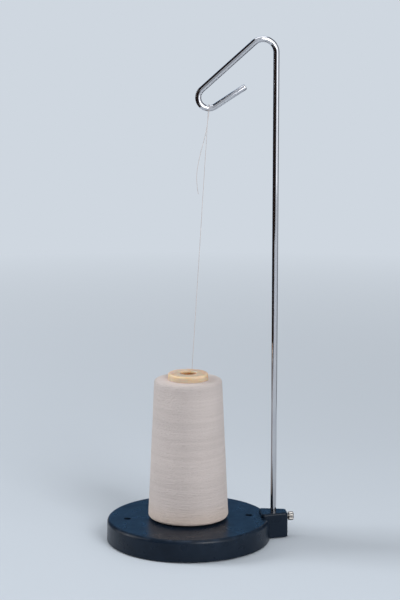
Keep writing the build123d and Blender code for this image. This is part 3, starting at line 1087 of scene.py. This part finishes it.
@dataclass
class LooseThread:
    """The thread that leaves the cone, runs up through the loop and hangs from it."""

    thread: float = 0.4 * MM
    ply_pitch: float = 1.3 * MM
    step: float = 0.14 * MM
    points_in_span: int = 48
    route: tuple[tuple[float, float, float], ...] = (
        (0.0046, 0.02366, 0.108),
        (0.0140, 0.00275, 0.2962),
        (0.0141, 0.0025, 0.2986),
        (0.0141, -0.0025, 0.2986),
        (0.0140, -0.0027, 0.2962),
        (0.0134, -0.0032, 0.291),
        (0.0116, -0.0036, 0.2795),
        (0.0074, -0.0044, 0.265),
        (0.0046, -0.0052, 0.250),
        (0.0064, -0.0056, 0.2395),
    )
    loop_point: int = 2

    @property
    def leaves_cone(self) -> Vector:
        """Where the thread leaves the winding."""
        return Vector(self.route[0])

    def middle(self) -> list[Vector]:
        """Points of the thread's smooth line, read from its spline."""
        curve = bpy.data.curves.new("thread_route", "CURVE")
        curve.dimensions = "3D"
        spline = curve.splines.new("NURBS")
        spline.points.add(len(self.route) - 1)
        spline.points.foreach_set("co", [number for point in self.route for number in (*point, 1.0)])
        spline.order_u = 3
        spline.use_endpoint_u = True
        curve.resolution_u = self.points_in_span
        holder = bpy.data.objects.new("thread_route", curve)
        mesh = bpy.data.meshes.new_from_object(holder)
        points = [vert.co.copy() for vert in mesh.vertices]
        bpy.data.objects.remove(holder)
        bpy.data.curves.remove(curve)
        bpy.data.meshes.remove(mesh)
        return points

    def evenly(self, points: Sequence[Vector]) -> list[Vector]:
        """The same line with its points one step apart."""
        even = [points[0]]
        short = self.step
        for before, after in zip(points, points[1:]):
            run = (after - before).length
            gone = 0.0
            while run - gone >= short:
                gone += short
                even.append(before.lerp(after, gone / run))
                short = self.step
            short -= run - gone
        return even

    def plies(self, line: Sequence[Vector]) -> list[list[Vector]]:
        """Two plies twisted round a line.

        Args:
            line: the thread's middle, evenly spaced.

        Returns:
            The middle of each ply.
        """
        twisted: list[list[Vector]] = [[], []]
        across = (line[1] - line[0]).orthogonal().normalized()
        for number, here in enumerate(line):
            ahead = line[min(number + 1, len(line) - 1)] - line[max(number - 1, 0)]
            along = ahead.normalized()
            across = (across - along * across.dot(along)).normalized()
            turn = FULL_TURN * number * self.step / self.ply_pitch
            out = across * math.cos(turn) + along.cross(across) * math.sin(turn)
            twisted[0].append(here + out * self.thread / 4)
            twisted[1].append(here - out * self.thread / 4)
        return twisted

    def build(self) -> None:
        """Builds the thread."""
        line = self.evenly(self.middle())
        mesh = drawn_threads("loose_thread", self.plies(line), self.thread / 4, 1)
        strand = shown("loose_thread", mesh, ALL_SMOOTH_DEG)
        paint(strand, ThreadFinish("thread_loose", warm_below=0.0).material())
        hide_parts("thread_strand")
        length = sum((after - before).length for before, after in zip(line, line[1:]))
        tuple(self.leaves_cone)
        hook_side = Vector((self.leaves_cone.x, self.route[self.loop_point][1], self.leaves_cone.z))
        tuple(self.leaves_cone)
        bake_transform(strand)
        LOG.info("piece loose_thread: %.4f m long, %d faces", length, len(mesh.polygons))


@dataclass(frozen=True)
class Softbox:
    """A rectangular studio lamp."""

    name: str
    place: Vector
    width: float
    height: float
    watts: float

    def light(self, target: Vector) -> None:
        """Puts the lamp up, pointing at the target."""
        lamp = bpy.data.lights.new(self.name, "AREA")
        lamp.shape = "RECTANGLE"
        lamp.size = self.width
        lamp.size_y = self.height
        lamp.energy = self.watts
        made = bpy.data.objects.new(self.name, lamp)
        made.location = self.place
        made.rotation_euler = (target - self.place).to_track_quat("-Z", "Y").to_euler()
        bpy.context.scene.collection.objects.link(made)


@dataclass(frozen=True)
class Flag:
    """An upright card beside the stand, which only bright metal and gloss can see."""

    name: str
    middle: Vector
    width: float
    height: float
    heading_deg: float
    colour: Colour

    def stand_up(self) -> None:
        """Puts the card up."""
        shape = bmesh.new()
        bmesh.ops.create_grid(shape, x_segments=1, y_segments=1, size=0.5)
        upright = Matrix.Rotation(math.radians(90), 4, "X")
        heading = Matrix.Rotation(math.radians(self.heading_deg), 4, "Z")
        bmesh.ops.scale(shape, verts=shape.verts, vec=(self.width, self.height, 1.0))
        place = Matrix.Translation(self.middle) @ heading @ upright
        bmesh.ops.transform(shape, matrix=place, verts=shape.verts)
        card = piece(self.name, shape)
        graph = Graph(self.name + "_card")
        graph.set(base_color=opaque(self.colour), roughness=1.0, specular_ior_level=0.0)
        paint(card, graph.material)
        card.visible_camera = False
        card.visible_diffuse = False
        card.visible_shadow = False
        card.visible_transmission = False


@dataclass
class Studio:
    """Floor, lamps, cards, surroundings and camera."""

    azimuth_deg: float = -5.5
    reach: float = 1.269
    eye_height: float = 0.396
    lens_mm: float = 114.7
    target: Vector = Vector((0.0081, 0.0, 0.1671))
    floor_radius: float = 9.0
    floor_colour: Colour = tone(196, 205, 215)
    fade_start: float = 0.3
    fade_end: float = 1.3
    surround: Colour = tone(207, 215, 224)
    ambient: float = 0.26
    softboxes: tuple[Softbox, ...] = (
        Softbox("right_box", Vector((0.6, -1.55, 0.95)), 0.7, 1.2, 23.0),
        Softbox("left_box", Vector((-1.62, 0.4, 0.8)), 0.7, 1.2, 26.0),
        Softbox("top_box", Vector((0.0, 0.25, 1.6)), 1.1, 0.8, 4.5),
        Softbox("strip_box", Vector((0.75, -0.85, 0.48)), 0.6, 0.9, 2.2),
    )
    flags: tuple[Flag, ...] = (
        Flag("left_card", Vector((-0.19, 0.12, 0.41)), 0.98, 0.8, 90.0, tone(46, 36, 34)),
        Flag("right_card", Vector((0.3, 0.38, 0.41)), 0.62, 0.8, 90.0, tone(46, 36, 34)),
        Flag("front_card", Vector((-0.4, -0.8, 0.28)), 1.0, 0.54, -26.6, tone(46, 36, 34)),
        Flag("back_card", Vector((0.0, 0.8, 0.46)), 1.7, 0.9, 0.0, tone(98, 142, 186)),
    )

    def camera(self) -> None:
        """Puts the camera at the viewing angle, aimed at the stand's middle."""
        azimuth = math.radians(self.azimuth_deg)
        eye = Vector((self.reach * math.sin(azimuth), -self.reach * math.cos(azimuth), self.eye_height))
        lens = bpy.data.cameras.new("camera")
        lens.lens = self.lens_mm
        lens.clip_end = 4 * self.floor_radius
        made = bpy.data.objects.new("camera", lens)
        made.location = eye
        made.rotation_euler = (self.target - eye).to_track_quat("-Z", "Y").to_euler()
        bpy.context.scene.collection.objects.link(made)
        bpy.context.scene.camera = made

    def floor(self) -> None:
        """Lays the plain pale floor."""
        shape = bmesh.new()
        bmesh.ops.create_circle(shape, cap_ends=True, segments=64, radius=self.floor_radius)
        made = piece("studio_floor", shape)
        graph = Graph("floor_pale")
        graph.set(base_color=opaque(self.floor_colour), roughness=0.9, specular_ior_level=0.2)
        seen = self.seen_rays(graph.nodes, graph.links)
        faded = graph.spread(graph.from_axis(), 0.0, 1.0, self.fade_start, self.fade_end)
        air = graph.nodes.new("ShaderNodeEmission")
        air.inputs["Color"].default_value = opaque(self.surround)
        mix = graph.nodes.new("ShaderNodeMixShader")
        graph.feed(mix.inputs["Fac"], graph.math("MULTIPLY", faded, seen))
        graph.links.new(graph.shader.outputs["BSDF"], mix.inputs[1])
        graph.links.new(air.outputs["Emission"], mix.inputs[2])
        graph.links.new(mix.outputs["Shader"], graph.nodes["Material Output"].inputs["Surface"])
        paint(made, graph.material)

    @staticmethod
    def seen_rays(nodes: bpy.types.Nodes, links: bpy.types.NodeLinks) -> Socket:
        """Whether a ray comes from the camera, or from gloss or a clear piece.

        Args:
            nodes: the nodes of the tree that asks.
            links: its links.

        Returns:
            1 for such a ray and 0 for any other.
        """
        path = nodes.new("ShaderNodeLightPath")
        share = path.outputs["Is Camera Ray"]
        for ray in ("Is Glossy Ray", "Is Transmission Ray"):
            either = nodes.new("ShaderNodeMath")
            either.operation = "MAXIMUM"
            links.new(share, either.inputs[0])
            links.new(path.outputs[ray], either.inputs[1])
            share = either.outputs["Value"]
        return share

    def surroundings(self) -> None:
        """Soft light from all round, and a pale surround for the camera, gloss and clear pieces."""
        world = bpy.data.worlds.new("studio_air")
        world.use_nodes = True
        nodes, links = world.node_tree.nodes, world.node_tree.links
        lit = nodes["Background"]
        lit.inputs["Strength"].default_value = self.ambient
        lit.inputs["Color"].default_value = opaque((1.0, 1.0, 1.0))
        seen = nodes.new("ShaderNodeBackground")
        seen.inputs["Color"].default_value = opaque(self.surround)
        mix = nodes.new("ShaderNodeMixShader")
        links.new(self.seen_rays(nodes, links), mix.inputs["Fac"])
        links.new(lit.outputs["Background"], mix.inputs[1])
        links.new(seen.outputs["Background"], mix.inputs[2])
        links.new(mix.outputs["Shader"], nodes["World Output"].inputs["Surface"])
        bpy.context.scene.world = world

    def build(self) -> None:
        """Builds the whole studio."""
        self.camera()
        self.floor()
        self.surroundings()
        for box in self.softboxes:
            box.light(self.target)
        for flag in self.flags:
            flag.stand_up()
        bpy.context.scene.view_settings.view_transform = "Standard"
        LOG.info("studio: %d lamps, %d cards", len(self.softboxes), len(self.flags))


def main() -> None:
    """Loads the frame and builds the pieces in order."""
    logging.basicConfig(level=logging.INFO, format="%(message)s")
    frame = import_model()
    Studio().build()
    LooseThread().build()
    WeightedBase().build(frame)
    GuideRod().build()
    ClampScrew().build()
    ThreadCone().build(frame)


if __name__ == "__main__":
    main()
